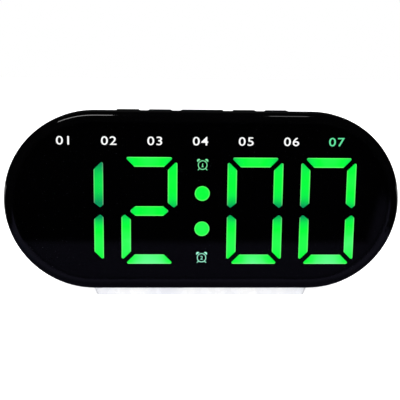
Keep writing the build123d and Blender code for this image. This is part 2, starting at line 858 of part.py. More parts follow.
with BuildPart() as contact_springs:
    for way, rise in cell_ways.items():
        leaf_foot = bay_x - way * plate_face
        with BuildSketch(side_plane(leaf_foot, cell_depth, rise, way)):
            RectangleRounded(contact_width, contact_height, contact_corner_radius)
        extrude(amount=-contact_thickness)
        leaf_centre = leaf_foot + way * (leaf_reach - leaf_radius)
        leaf_middle = leaf_foot + way * leaf_reach / 2
        with BuildSketch(Plane(origin=(leaf_centre, front_y + cell_depth, face_z + rise), z_dir=(0, 0, 1))):
            Circle(leaf_radius)
            Circle(leaf_radius - contact_thickness, mode=Mode.SUBTRACT)
            with Locations((leaf_middle - leaf_centre, 0)):
                Rectangle(leaf_reach, 2 * leaf_radius, mode=Mode.INTERSECT)
        extrude(amount=contact_leaf_width / 2, both=True)
finish(contact_springs, "contact_springs")

# Battery door: its lower edge is rounded about the hinge pins
with BuildPart() as battery_door:
    with BuildSketch(face_plane(door_front, door_hinge_rise, bay_x)):
        Rectangle(door_width, door_height - door_thickness / 2, align=(Align.CENTER, Align.MIN))
    extrude(amount=door_thickness, dir=BACK)
    upper_edges = battery_door.edges().filter_by(Axis.Y).group_by(Axis.Z)[-1]
    fillet(upper_edges, door_corner_radius)
    with BuildSketch(side_plane(bay_x - door_width / 2, door_hinge_depth, door_hinge_rise)):
        Circle(door_thickness / 2)
    extrude(amount=door_width)
    pin_half_length = door_width / 2 + door_pin_length
    with BuildSketch(side_plane(bay_x - pin_half_length, door_hinge_depth, door_hinge_rise)):
        Circle(door_pin_radius)
    extrude(amount=2 * pin_half_length)
    grooves_rise = bay_rise + door_height / 2 - groove_top_margin - groove_pitch * (groove_count - 1) / 2
    with BuildSketch(rear_plane(case_depth, grooves_rise, bay_x)):
        with GridLocations(0, groove_pitch, 1, groove_count):
            SlotOverall(groove_length, groove_width)
    extrude(amount=-groove_depth, mode=Mode.SUBTRACT)
finish(battery_door, "battery_door")

# Sounder
with BuildPart() as sounder:
    with BuildSketch(face_plane(sounder_front, sounder_rise, sounder_x)):
        Circle(sounder_radius)
    extrude(amount=sounder_height, dir=BACK)
    with BuildSketch(rear_plane(sounder_front + sounder_height, sounder_rise, sounder_x)):
        Circle(sounder_hole_radius)
    extrude(amount=-sounder_hole_depth, mode=Mode.SUBTRACT)
finish(sounder, "sounder")

# Power socket and its centre pin
socket_mouth = case_depth - socket_nose_recess
socket_floor = socket_mouth - socket_bore_depth
with BuildPart() as power_socket:
    with BuildSketch(face_plane(socket_front, socket_rise, socket_x)):
        Rectangle(socket_body, socket_body)
    extrude(amount=socket_body_length, dir=BACK)
    with BuildSketch(face_plane(shell_inside, socket_rise, socket_x)):
        Circle(socket_nose_radius)
    extrude(amount=shell_wall - socket_nose_recess, dir=BACK)
    with BuildSketch(face_plane(socket_floor, socket_rise, socket_x)):
        Circle(socket_bore_radius)
    extrude(amount=case_depth, dir=BACK, mode=Mode.SUBTRACT)
finish(power_socket, "power_socket")

with BuildPart() as socket_pin:
    with BuildSketch(face_plane(socket_floor, socket_rise, socket_x)):
        Circle(socket_pin_radius)
    extrude(amount=socket_bore_depth - socket_pin_recess, dir=BACK)
    fillet(socket_pin.faces().sort_by(Axis.Y)[-1].edges(), socket_pin_radius * pin_round_share)
finish(socket_pin, "socket_pin")


def foot_section(height, width, length):
    """The foot's outline at a height over the table."""
    with BuildSketch(Plane(origin=(0, front_y + foot_middle, height), z_dir=(0, 0, 1))) as section:
        RectangleRounded(width, length, foot_corner_radius)
    return section.sketch


def foot_discs(places, radius, height):
    """Discs at places about the foot's middle, at a height over the table."""
    with BuildSketch(Plane(origin=(0, front_y + foot_middle, height), z_dir=(0, 0, 1))) as outlines:
        with Locations(*places):
            Circle(radius)
    return outlines.sketch


# Foot, seated on the shell's underside, with pegs through the wall and pads let in below
pad_places = [(along, side) for along in (-pad_x, pad_x) for side in (-pad_spread, pad_spread)]
wall_top = table_gap + case_step + foot_climb + shell_wall
with BuildPart() as base_foot:
    lower = foot_section(foot_lift, foot_width - 2 * foot_end_draft, foot_length - 2 * foot_draft)
    loft([lower, foot_section(foot_lift + foot_blank_height, foot_width, foot_length)])
    add(shell_outside, mode=Mode.SUBTRACT)
    extrude(foot_discs(peg_places, peg_radius, pad_thickness), amount=wall_top + peg_rise - pad_thickness)
    recesses = foot_discs(pad_places, pad_radius + pad_fit, 0)
    extrude(recesses, amount=pad_thickness, mode=Mode.SUBTRACT)
finish(base_foot, "base_foot")

with BuildPart() as foot_pads:
    extrude(foot_discs(pad_places, pad_radius, 0), amount=pad_thickness)
finish(foot_pads, "foot_pads")
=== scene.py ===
"""The finishes, printed marks, lamps and camera of a digital LED desk clock.

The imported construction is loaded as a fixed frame. This script gives every part its finish, prints the
row of numbers and the two alarm symbols on the film, wraps the battery cells, and sets the studio.
"""

from __future__ import annotations

import logging
import math
from dataclasses import dataclass, field
from enum import Enum
from typing import Any

import bmesh
import bpy
from mathutils import Matrix, Vector

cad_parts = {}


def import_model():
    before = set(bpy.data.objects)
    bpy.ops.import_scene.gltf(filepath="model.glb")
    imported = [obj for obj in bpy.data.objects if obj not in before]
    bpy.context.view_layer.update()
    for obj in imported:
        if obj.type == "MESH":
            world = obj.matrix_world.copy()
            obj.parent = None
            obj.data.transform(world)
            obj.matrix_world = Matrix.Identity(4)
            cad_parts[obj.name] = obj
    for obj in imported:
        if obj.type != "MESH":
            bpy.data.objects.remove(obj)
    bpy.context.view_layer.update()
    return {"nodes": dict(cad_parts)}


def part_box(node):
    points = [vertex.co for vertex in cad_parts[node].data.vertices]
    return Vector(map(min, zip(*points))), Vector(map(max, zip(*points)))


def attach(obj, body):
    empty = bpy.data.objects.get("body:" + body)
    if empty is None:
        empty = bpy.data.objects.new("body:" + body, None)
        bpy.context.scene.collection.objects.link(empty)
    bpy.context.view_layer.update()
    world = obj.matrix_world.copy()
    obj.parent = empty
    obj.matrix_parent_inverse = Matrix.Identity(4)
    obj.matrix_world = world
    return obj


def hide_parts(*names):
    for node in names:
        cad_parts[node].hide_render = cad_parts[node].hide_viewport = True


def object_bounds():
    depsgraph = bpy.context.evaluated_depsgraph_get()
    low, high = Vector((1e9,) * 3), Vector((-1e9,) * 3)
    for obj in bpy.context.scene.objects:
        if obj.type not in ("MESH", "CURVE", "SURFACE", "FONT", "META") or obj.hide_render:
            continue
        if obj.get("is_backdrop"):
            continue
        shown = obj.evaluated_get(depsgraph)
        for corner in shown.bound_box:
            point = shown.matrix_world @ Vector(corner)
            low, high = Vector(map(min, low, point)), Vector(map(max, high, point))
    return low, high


log = logging.getLogger("desk_clock")

MM = 0.001
UPRIGHT = Matrix.Rotation(math.pi / 2, 4, "X")

Pair = tuple[float, float]
Triple = tuple[float, float, float]
Colour = Triple
Stops = tuple[tuple[float, Colour], ...]

WHITE: Colour = (1.0, 1.0, 1.0)

# Where the low and the high tone of a cloudy colour lie, and how far wear swings a roughness
CLOUD_ENDS: Pair = (0.3, 0.7)
WEAR: Pair = (0.85, 1.15)

# The display's light: its strength, its colour at each exposure, and its paler edge along a window
GLOW = 2.1
LIT_GREEN: Colour = (0.0044, 0.82, 0.068)
LIGHT_STOPS: Stops = (
    (0.0, (0.0037, 0.26, 0.095)),
    (0.35, LIT_GREEN),
    (0.55, (0.003, 0.99, 0.042)),
    (0.75, (0.022, 1.0, 0.085)),
    (1.0, (0.125, 1.0, 0.27)),
)
EDGE: Pair = (0.1 * MM, 0.6 * MM)
EDGE_PALENESS = 0.1

# How much of the light's colour a lit surface shows under the lamps, and how rough it is
UNLIT_SHARE = 0.12
LIT_ROUGHNESS = 0.6


def shade(colour: Colour, share: float) -> Colour:
    """Make a colour darker or lighter by a share of itself."""
    return tuple(min(1.0, part * share) for part in colour)


def between(ends: Pair, share: Value) -> Value:
    """Give the number that lies at a share of the way between two ends."""
    return ends[0] + (ends[1] - ends[0]) * share


def halve(corners: tuple[Vector, Vector]) -> tuple[Vector, Vector]:
    """Turn a box's lowest and highest corner into its middle and its half sizes."""
    low, high = corners
    return (low + high) / 2, (high - low) / 2


class Value:
    """A number that varies over a surface: one shader socket, with Python's operators."""

    def __init__(self, shader: Shader, socket: bpy.types.NodeSocket) -> None:
        """Wrap a socket.

        Args:
            shader: The shader that the socket belongs to.
            socket: The socket that gives the number.
        """
        self.shader = shader
        self.socket = socket

    def __add__(self, other: Value | float) -> Value:
        """Add."""
        return self.shader.maths("ADD", self, other)

    __radd__ = __add__

    def __sub__(self, other: Value | float) -> Value:
        """Subtract a number from this one."""
        return self.shader.maths("SUBTRACT", self, other)

    def __rsub__(self, other: Value | float) -> Value:
        """Subtract this number from another."""
        return self.shader.maths("SUBTRACT", other, self)

    def __mul__(self, other: Value | float) -> Value:
        """Multiply."""
        return self.shader.maths("MULTIPLY", self, other)

    __rmul__ = __mul__

    def __truediv__(self, other: Value | float) -> Value:
        """Divide by another number."""
        return self.shader.maths("DIVIDE", self, other)

    def __pow__(self, other: float) -> Value:
        """Raise to a power."""
        return self.shader.maths("POWER", self, other)

    def __abs__(self) -> Value:
        """Leave out the sign."""
        return self.shader.maths("ABSOLUTE", self)

    def __lt__(self, other: Value | float) -> Value:
        """Give 1 where this number is the smaller, and 0 elsewhere."""
        return self.shader.maths("LESS_THAN", self, other)

    def __gt__(self, other: Value | float) -> Value:
        """Give 1 where this number is the larger, and 0 elsewhere."""
        return self.shader.maths("GREATER_THAN", self, other)

    def step(self, low: float, high: float) -> Value:
        """Climb smoothly from 0 at one number to 1 at another.

        Args:
            low: Where the climb starts.
            high: Where it ends.

        Returns:
            The climbing number.
        """
        inputs = {"Value": self, "From Min": low, "From Max": high}
        settings = {"interpolation_type": "SMOOTHSTEP", "clamp": True}
        climb = self.shader.node("ShaderNodeMapRange", settings, inputs)
        return Value(self.shader, climb.outputs["Result"])


class Shader:
    """The node tree of one material or of the world."""

    def __init__(self, tree: bpy.types.NodeTree) -> None:
        """Start an empty tree.

        Args:
            tree: The node tree to fill.
        """
        self.tree = tree
        tree.nodes.clear()

    def node(
        self,
        kind: str,
        settings: dict[str, Any] | None = None,
        inputs: dict[str | int, Any] | None = None,
    ) -> bpy.types.Node:
        """Add one node.

        Args:
            kind: The node's type name.
            settings: Its settings, such as an operation, or a colour ramp's stops.
            inputs: Values or links for its sockets, by name or number.

        Returns:
            The node.
        """
        node = self.tree.nodes.new(kind)
        for name, setting in (settings or {}).items():
            if name == "stops":
                self._set_stops(node.color_ramp, setting)
            else:
                setattr(node, name, setting)
        for name, given in (inputs or {}).items():
            self._feed(node.inputs[name], given)
        return node

    def _set_stops(self, ramp: bpy.types.ColorRamp, stops: Stops) -> None:
        """Give a colour ramp its stops.

        Args:
            ramp: The ramp.
            stops: The place and the colour of each.
        """
        while len(ramp.elements) < len(stops):
            ramp.elements.new(1.0)
        for element, (position, colour) in zip(ramp.elements, stops):
            element.position = position
            element.color = (*colour, 1.0)

    def _feed(self, socket: bpy.types.NodeSocket, given: Any) -> None:
        """Set a socket to a value, or link it.

        Args:
            socket: The socket.
            given: A value, or what gives it.
        """
        if isinstance(given, Value):
            given = given.socket
        if isinstance(given, bpy.types.NodeSocket):
            self.tree.links.new(given, socket)
        elif socket.type == "RGBA" and len(given) == 3:
            socket.default_value = (*given, 1.0)
        else:
            socket.default_value = given

    def maths(self, operation: str, *numbers: Value | float) -> Value:
        """Work out one sum in a Math node."""
        inputs = dict(enumerate(numbers))
        return Value(self, self.node("ShaderNodeMath", {"operation": operation}, inputs).outputs[0])

    def place(self) -> bpy.types.NodeSocket:
        """Give the place on the object, in metres, as a vector socket."""
        return self.node("ShaderNodeTexCoord").outputs["Object"]

    def axes(self) -> tuple[Value, Value, Value]:
        """Give the place on the object as three numbers, in metres."""
        parts = self.node("ShaderNodeSeparateXYZ", inputs={"Vector": self.place()}).outputs
        return Value(self, parts["X"]), Value(self, parts["Y"]), Value(self, parts["Z"])

    def noise(self, grain: float, detail: float = 2.0, stretch: Triple = (1, 1, 1)) -> Value:
        """Give a cloudy number about 0.5.

        Args:
            grain: The size of its largest lumps, in metres.
            detail: How many finer layers it has.
            stretch: Scale along each axis: a small number draws the lumps out.

        Returns:
            The number.
        """
        mapping = self.node("ShaderNodeMapping", inputs={"Vector": self.place(), "Scale": stretch})
        inputs = {"Vector": mapping.outputs[0], "Scale": 1 / grain, "Detail": detail}
        return Value(self, self.node("ShaderNodeTexNoise", inputs=inputs).outputs["Fac"])

    def ramp(self, factor: Value, stops: Stops) -> bpy.types.NodeSocket:
        """Turn a number into a colour."""
        return self.node("ShaderNodeValToRGB", {"stops": stops}, {"Fac": factor}).outputs["Color"]

    def blend(self, factor: Value, first: Any, second: Any) -> bpy.types.NodeSocket:
        """Mix two colours.

        Args:
            factor: The share of the second colour.
            first: The first colour, or its socket.
            second: The second colour, or its socket.

        Returns:
            The mixed colour's socket.
        """
        mix = self.node("ShaderNodeMix", {"data_type": "RGBA"}, {0: factor, 6: first, 7: second})
        return mix.outputs[2]

    def bump(self, height: Value, depth: float) -> bpy.types.NodeSocket:
        """Turn a height from 0 to 1 into a surface normal.

        Args:
            height: The height.
            depth: How deep the relief is, in metres.

        Returns:
            The normal's socket.
        """
        return self.node("ShaderNodeBump", inputs={"Height": height, "Distance": depth}).outputs["Normal"]

    def rays(self) -> tuple[Value, Value]:
        """Sort the rays that see the tree.

        Returns:
            1 for the rays that come straight from the camera or through the lens, and 1 for a mirror's.
        """
        kinds = self.node("ShaderNodeLightPath").outputs
        straight = Value(self, kinds["Is Camera Ray"]) + Value(self, kinds["Is Transmission Ray"])
        return straight, Value(self, kinds["Is Glossy Ray"])

    def light(self, colour: Colour, strength: Value) -> bpy.types.NodeSocket:
        """Shine in a colour, at a strength that may vary."""
        return self.node("ShaderNodeEmission", inputs={"Color": colour, "Strength": strength}).outputs[0]

    def output(self, kind: str, shader: bpy.types.NodeSocket) -> None:
        """End the tree in its output node."""
        self.node(kind, inputs={"Surface": shader})


class Paint(Shader):
    """The node tree of one material, which most often ends in a principled surface."""

    def __init__(self, name: str) -> None:
        """Make the material.

        Args:
            name: The material's name.
        """
        self.material = bpy.data.materials.new(name)
        self.material.use_nodes = True
        super().__init__(self.material.node_tree)

    def mottled(
        self, clouds: Value, colour: Colour, shares: Pair, ends: Pair = CLOUD_ENDS
    ) -> bpy.types.NodeSocket:
        """Let a colour grow darker and lighter with a cloudy number.

        Args:
            clouds: The cloudy number.
            colour: The colour.
            shares: How bright it is at the low and the high end, as shares of itself.
            ends: The cloudy number at both ends.

        Returns:
            The colour's socket.
        """
        return self.ramp(clouds, tuple((end, shade(colour, share)) for end, share in zip(ends, shares)))

    def surface(self, **inputs: Any) -> bpy.types.Material:
        """Feed the principled surface.

        Args:
            inputs: Its sockets, with underscores for spaces.

        Returns:
            The finished material.
        """
        named = {name.replace("_", " "): given for name, given in inputs.items()}
        principled = self.node("ShaderNodeBsdfPrincipled", inputs=named)
        self.output("ShaderNodeOutputMaterial", principled.outputs["BSDF"])
        return self.material


@dataclass(frozen=True)
class Finish:
    """What a surface is made of. Each kind makes one material.

    Attributes:
        name: The material's name.
        colour: Its main colour.
    """

    name: str
    colour: Colour

    def material(self) -> bpy.types.Material:
        """Make the material."""
        raise NotImplementedError


@dataclass(frozen=True)
class MouldedPlastic(Finish):
    """Injection-moulded plastic with a fine tool texture.

    Attributes:
        roughness: Its mean roughness.
        grain: Size of the tool texture.
        relief: Depth of the tool texture.
        mottle: How far the colour varies, as a share.
        specular: The specular level of the surface.
        clouds: Size of the clouds in its colour.
        patches: Size of the patches of wear.
    """

    roughness: float
    grain: float = 0.35 * MM
    relief: float = 0.012 * MM
    mottle: float = 0.15
    specular: float = 0.5
    clouds: float = 9 * MM
    patches: float = 4 * MM

    def material(self) -> bpy.types.Material:
        """Make the material."""
        paint = Paint(self.name)
        clouds = paint.noise(self.clouds, 3)
        return paint.surface(
            Base_Color=paint.mottled(clouds, self.colour, (1 - self.mottle, 1 + self.mottle)),
            Roughness=self.roughness * between(WEAR, paint.noise(self.patches)),
            Normal=paint.bump(paint.noise(self.grain, 1), self.relief),
            Specular_IOR_Level=self.specular,
        )


@dataclass(frozen=True)
class SmokedAcrylic(Finish):
    """Polished smoked acrylic that lets the display show through, backed in black round its rim.

    Attributes:
        shares: How far its colour varies, as shares of itself.
        haze: Size of the haze in its body.
        polish: Its roughness, from and to.
        waves: Size of the slow waves in its surface.
        relief: Depth of the waves.
        ior: How strongly it bends light.
        cover: How much of what lies behind one surface it hides.
        rim: How far in from its outline the black rim fades, from and to.
    """

    name: str = "smoked_acrylic"
    colour: Colour = (0.0004, 0.0004, 0.0005)
    shares: Pair = (0.8, 1.2)
    haze: float = 14 * MM
    polish: Pair = (0.02, 0.05)
    waves: float = 30 * MM
    relief: float = 0.01 * MM
    ior: float = 1.49
    cover: float = 0.3
    rim: Pair = (4.2 * MM, 5.2 * MM)

    def material(self) -> bpy.types.Material:
        """Make the material."""
        paint = Paint(self.name)
        haze = paint.noise(self.haze, 3)
        middle, half = halve(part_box("front_lens"))
        x, _, z = paint.axes()
        along = paint.maths("MAXIMUM", abs(x - middle.x) - (half.x - half.z), 0.0)
        rise = z - middle.z
        inset = half.z - paint.maths("SQRT", along * along + rise * rise)
        return paint.surface(
            Base_Color=paint.mottled(haze, self.colour, self.shares),
            Roughness=between(self.polish, haze),
            Normal=paint.bump(paint.noise(self.waves, 1), self.relief),
            IOR=self.ior,
            Alpha=1 - inset.step(*self.rim) * (1 - self.cover),
        )


@dataclass(frozen=True)
class LitFinish(Finish):
    """A milky surface that light shines through."""

    def lit(self, paint: Paint, light: bpy.types.NodeSocket) -> bpy.types.Material:
        """Feed the surface.

        Args:
            paint: The shader.
            light: The light's colour as it varies.

        Returns:
            The finished material.
        """
        return paint.surface(
            Base_Color=shade(self.colour, UNLIT_SHARE),
            Roughness=LIT_ROUGHNESS,
            Specular_IOR_Level=0.0,
            Emission_Color=light,
            Emission_Strength=GLOW,
        )


@dataclass(frozen=True)
class LitWindow(LitFinish):
    """A window of the display over its own light.

    Attributes:
        node: The node that shows in the window.
        level: How bright it is in the middle, from 0 to 1.
        climb: How much brighter it is low down than in the middle.
        fall: How much darker it is far from its own light.
        grain: Size of the unevenness.
        mottle: How far the exposure varies with it.
        grown: How far the node reaches past its window.
    """

    node: str
    level: float
    climb: float
    fall: float
    grain: float = 3 * MM
    mottle: float = 0.12
    grown: float = 0.3 * MM

    def lit_window(self, paint: Paint, exposure: Value, inset: Value) -> bpy.types.Material:
        """Feed the surface.

        Args:
            paint: The shader.
            exposure: How bright it is, from 0 to 1.
            inset: How far in from the window's outline.

        Returns:
            The finished material.
        """
        exposure = exposure + self.mottle * (paint.noise(self.grain) - 0.5)
        edge = (1 - inset.step(*EDGE)) * EDGE_PALENESS
        return self.lit(paint, paint.blend(edge, paint.ramp(exposure, LIGHT_STOPS), WHITE))


@dataclass(frozen=True)
class LitDigit(LitWindow):
    """The segments of one digit, each brightest over its own light.

    Attributes:
        lean: How much brighter it is at the digit's right side than in its middle.
        lift: How much brighter the top and the foot are than the middle.
        bar: How wide the window of a bar is.
        upright: How wide the window of an upright is.
        light_rise: Height of an upright's light over the digit's middle, as a share of the half height.
    """

    lean: float = 0.0
    lift: float = 0.27
    bar: float = 4.1 * MM
    upright: float = 3.92 * MM
    light_rise: float = 0.52

    def material(self) -> bpy.types.Material:
        """Make the material. The minutes' tens show a zero, so its box gives the size of every digit."""
        paint = Paint(self.name)
        middle, half = halve(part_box("minute_tens_segments"))
        half_width, half_height = half.x - self.grown, half.z - self.grown
        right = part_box(self.node)[1].x - self.grown
        x, _, z = paint.axes()
        across = x - (right - half_width)
        rise = z - middle.z
        from_side = half_width - abs(across)
        from_end = half_height - abs(rise)
        is_bar = paint.maths("MAXIMUM", from_end < from_side, from_side > self.bar)
        along_upright = abs(abs(rise) - half_height * self.light_rise)
        distance = (is_bar * abs(across) + (1 - is_bar) * along_upright) / half_width
        from_bar = paint.maths("MINIMUM", abs(from_end - self.bar / 2), abs(rise))
        from_upright = abs(from_side - self.upright / 2)
        inset = is_bar * (self.bar / 2 - from_bar) + (1 - is_bar) * (self.upright / 2 - from_upright)
        height = rise / half_height
        exposure = self.level - self.climb * height + self.lift * height * height - self.fall * distance**2
        return self.lit_window(paint, exposure + self.lean * across / half_width, inset)


@dataclass(frozen=True)
class LitDots(LitWindow):
    """The two dots of the colon, each brightest in the middle, and the lower one the brighter."""

    def material(self) -> bpy.types.Material:
        """Make the material."""
        paint = Paint(self.name)
        middle, half = halve(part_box("colon_dots"))
        x, _, z = paint.axes()
        rise = z - middle.z
        along = abs(rise) - (half.z - half.x)
        across = x - middle.x
        window = half.x - self.grown
        distance = (along * along + across * across) / window**2
        exposure = self.level + self.climb * (2 * (rise < 0.0) - 1) - self.fall * distance
        return self.lit_window(paint, exposure, window * (1 - paint.maths("SQRT", distance)))


@dataclass(frozen=True)
class LitPrint(LitFinish):
    """Thin translucent print that light shines through.

    Attributes:
        grain: Size of the unevenness of the ink.
        shares: How far its colour varies, as shares of itself.
    """

    grain: float = 0.4 * MM
    shares: Pair = (0.92, 1.06)

    def material(self) -> bpy.types.Material:
        """Make the material."""
        paint = Paint(self.name)
        ink = paint.mottled(paint.noise(self.grain), self.colour, self.shares)
        return self.lit(paint, ink)


@dataclass(frozen=True)
class PlatedMetal(Finish):
    """Plated or drawn metal with fine lines along one axis.

    Attributes:
        roughness: Its mean roughness.
        lines: Scale of the lines along each axis.
        pitch: Size of the lines.
        swing: How far the lines swing the roughness, as shares of its mean.
        relief: Depth of the lines.
        tarnish: Size of the patches of tarnish.
        shares: How bright the colour is with and without tarnish, as shares of itself.
        ends: Where tarnish is full and where it ends, in its clouds.
    """

    roughness: float = 0.28
    lines: Triple = (0.15, 1.0, 1.0)
    pitch: float = 0.25 * MM
    swing: Pair = (0.7, 1.3)
    relief: float = 0.006 * MM
    tarnish: float = 3 * MM
    shares: Pair = (0.82, 1.0)
    ends: Pair = (0.3, 0.65)

    def material(self) -> bpy.types.Material:
        """Make the material."""
        paint = Paint(self.name)
        drawn = paint.noise(self.pitch, 3, self.lines)
        return paint.surface(
            Base_Color=paint.mottled(paint.noise(self.tarnish, 3), self.colour, self.shares, self.ends),
            Metallic=1.0,
            Roughness=self.roughness * between(self.swing, drawn),
            Normal=paint.bump(drawn, self.relief),
        )


@dataclass(frozen=True)
class CircuitBoard(Finish):
    """Green solder mask over copper tracks.

    Attributes:
        track: Its colour over a track.
        pitch: How far apart the tracks are.
        wander: How far they stray from a grid, from 0 to 1.
        edge: Where a track fades, as shares of the pitch.
        roughness: Its roughness, from and to.
        patches: Size of the patches of wear.
        relief: How far a track stands out.
    """

    name: str = "circuit_board"
    colour: Colour = (0.012, 0.09, 0.035)
    track: Colour = (0.02, 0.16, 0.05)
    pitch: float = 2.5 * MM
    wander: float = 0.6
    edge: Pair = (0.08, 0.12)
    roughness: Pair = (0.3, 0.45)
    patches: float = 5 * MM
    relief: float = 0.02 * MM

    def material(self) -> bpy.types.Material:
        """Make the material."""
        paint = Paint(self.name)
        settings = {"feature": "DISTANCE_TO_EDGE", "distance": "EUCLIDEAN"}
        inputs = {"Vector": paint.place(), "Scale": 1 / self.pitch, "Randomness": self.wander}
        cells = paint.node("ShaderNodeTexVoronoi", settings, inputs)
        track = 1 - Value(paint, cells.outputs["Distance"]).step(*self.edge)
        return paint.surface(
            Base_Color=paint.blend(track, self.colour, self.track),
            Roughness=between(self.roughness, paint.noise(self.patches)),
            Normal=paint.bump(track, self.relief),
        )


@dataclass(frozen=True)
class SoftRubber(Finish):
    """Matt elastomer, dusty in its pores.

    Attributes:
        roughness: Its mean roughness.
        pores: Size of its pores.
        relief: Depth of its pores.
        shares: How bright its colour is without and with dust, as shares of itself.
        ends: Where dust starts and is full in the pores.
    """

    roughness: float = 0.7
    pores: float = 0.2 * MM
    relief: float = 0.01 * MM
    shares: Pair = (1.0, 1.5)
    ends: Pair = (0.35, 0.7)

    def material(self) -> bpy.types.Material:
        """Make the material."""
        paint = Paint(self.name)
        pores = paint.noise(self.pores)
        return paint.surface(
            Base_Color=paint.mottled(pores, self.colour, self.shares, self.ends),
            Roughness=self.roughness * between(WEAR, pores),
            Normal=paint.bump(pores, self.relief),
        )


@dataclass(frozen=True)
class MilkyFoot(Finish):
    """Pale glossy plastic, with shade painted on it in a darker, bluer colour near its ends, in one soft
    band and in patches.

    Attributes:
        blue: The darker, bluer colour of its painted shade, where light leaves it.
        ends: How far from its middle the painted shade at its ends starts and is full.
        shade_band: Where the band of painted shade lies along X.
        reach: How far it reaches to each side.
        shade_strengths: How strong the painted shade is at the ends, in the band and in the patches.
        mottle: Size of the patches of painted shade.
        shade_patch_scale: Scale of the patches of painted shade along each axis.
        shade_patch_ends: Where those patches start and are full in their clouds.
        roughness: Its roughness, from and to.
        patches: Size of the patches of wear.
        grain: Size of its texture.
        relief: Depth of its texture.
    """

    name: str = "foot_plastic"
    colour: Colour = (0.96, 0.96, 0.97)
    blue: Colour = (0.66, 0.68, 0.79)
    ends: Pair = (32 * MM, 42 * MM)
    shade_band: float = -15 * MM
    reach: float = 12 * MM
    shade_strengths: Triple = (0.3, 0.4, 0.2)
    mottle: float = 9 * MM
    shade_patch_scale: Triple = (1.0, 0.3, 0.3)
    shade_patch_ends: Pair = (0.45, 0.7)
    roughness: Pair = (0.22, 0.32)
    patches: float = 3 * MM
    grain: float = 0.5 * MM
    relief: float = 0.004 * MM

    def material(self) -> bpy.types.Material:
        """Make the material."""
        paint = Paint(self.name)
        x, _, _ = paint.axes()
        # Painted shade: the colour turns darker and bluer at both ends, in one band along X and in patches.
        shade_band = 1 - abs(x - self.shade_band).step(0.0, self.reach)
        mottle = paint.noise(self.mottle, 1, self.shade_patch_scale).step(*self.shade_patch_ends)
        shade_at_ends, shade_in_band, shade_in_patches = self.shade_strengths
        painted_shade = shade_at_ends * abs(x).step(*self.ends) + shade_in_band * shade_band + shade_in_patches * mottle
        return paint.surface(
            Base_Color=paint.blend(painted_shade, self.colour, self.blue),
            Roughness=between(self.roughness, paint.noise(self.patches)),
            Normal=paint.bump(paint.noise(self.grain, 1), self.relief),
        )


@dataclass(frozen=True)
class RibbonCable(Finish):
    """Flat cable with its wires showing as stripes across its width, with shade painted darker between the
    wires.

    Attributes:
        groove_shade: The darker colour painted between two wires, as their shade.
        pitch: How far apart the wires are.
        edge: Where the painted shade starts and is full, from a wire's middle to its side.
        roughness: Its roughness, from and to.
        patches: Size of the patches of wear.
        relief: How far a wire stands out.
    """

    name: str = "ribbon_cable"
    colour: Colour = (0.36, 0.37, 0.4)
    groove_shade: Colour = (0.2, 0.2, 0.22)
    pitch: float = 1.27 * MM
    edge: Pair = (0.75, 0.95)
    roughness: Pair = (0.45, 0.55)
    patches: float = 2 * MM
    relief: float = 0.1 * MM

    def material(self) -> bpy.types.Material:
        """Make the material."""
        paint = Paint(self.name)
        x, _, _ = paint.axes()
        wire = abs(paint.maths("FRACT", x / self.pitch) - 0.5) * 2
        return paint.surface(
            # Painted shade: the colour turns darker between the wires.
            Base_Color=paint.blend(wire.step(*self.edge), self.colour, self.groove_shade),
            Roughness=between(self.roughness, paint.noise(self.patches)),
            Normal=paint.bump(1 - wire**2, self.relief),
        )


def add_object(name: str, data: Any) -> bpy.types.Object:
    """Put an object into the scene.

    Args:
        name: Its name.
        data: Its mesh, light or camera.

    Returns:
        The object, at the origin.
    """
    made = bpy.data.objects.new(name, data)
    bpy.context.scene.collection.objects.link(made)
    return made


class Mesher:
    """A piece made with bmesh operators."""

    def __init__(self, name: str) -> None:
        """Start an empty piece.

        Args:
            name: The piece's name.
        """
        self.name = name
        self.bm = bmesh.new()

    def thicken(self, depth: float) -> None:
        """Raise the flat outlines that face up into plates.

        Args:
            depth: The thickness of the plates.
        """
        bmesh.ops.recalc_face_normals(self.bm, faces=self.bm.faces)
        raised = bmesh.ops.extrude_face_region(self.bm, geom=self.bm.faces[:])
        points = [item for item in raised["geom"] if isinstance(item, bmesh.types.BMVert)]
        bmesh.ops.translate(self.bm, verts=points, vec=(0, 0, depth))
        bmesh.ops.recalc_face_normals(self.bm, faces=self.bm.faces)

    def finish(self, *materials: bpy.types.Material) -> bpy.types.Object:
        """Make the piece's object.

        Args:
            materials: Its finishes, in the order of their slots.

        Returns:
            The object, at the origin, with its place in its mesh.
        """
        mesh = bpy.data.meshes.new(self.name)
        self.bm.to_mesh(mesh)
        self.bm.free()
        for material in materials:
            mesh.materials.append(material)
        return add_object(self.name, mesh)


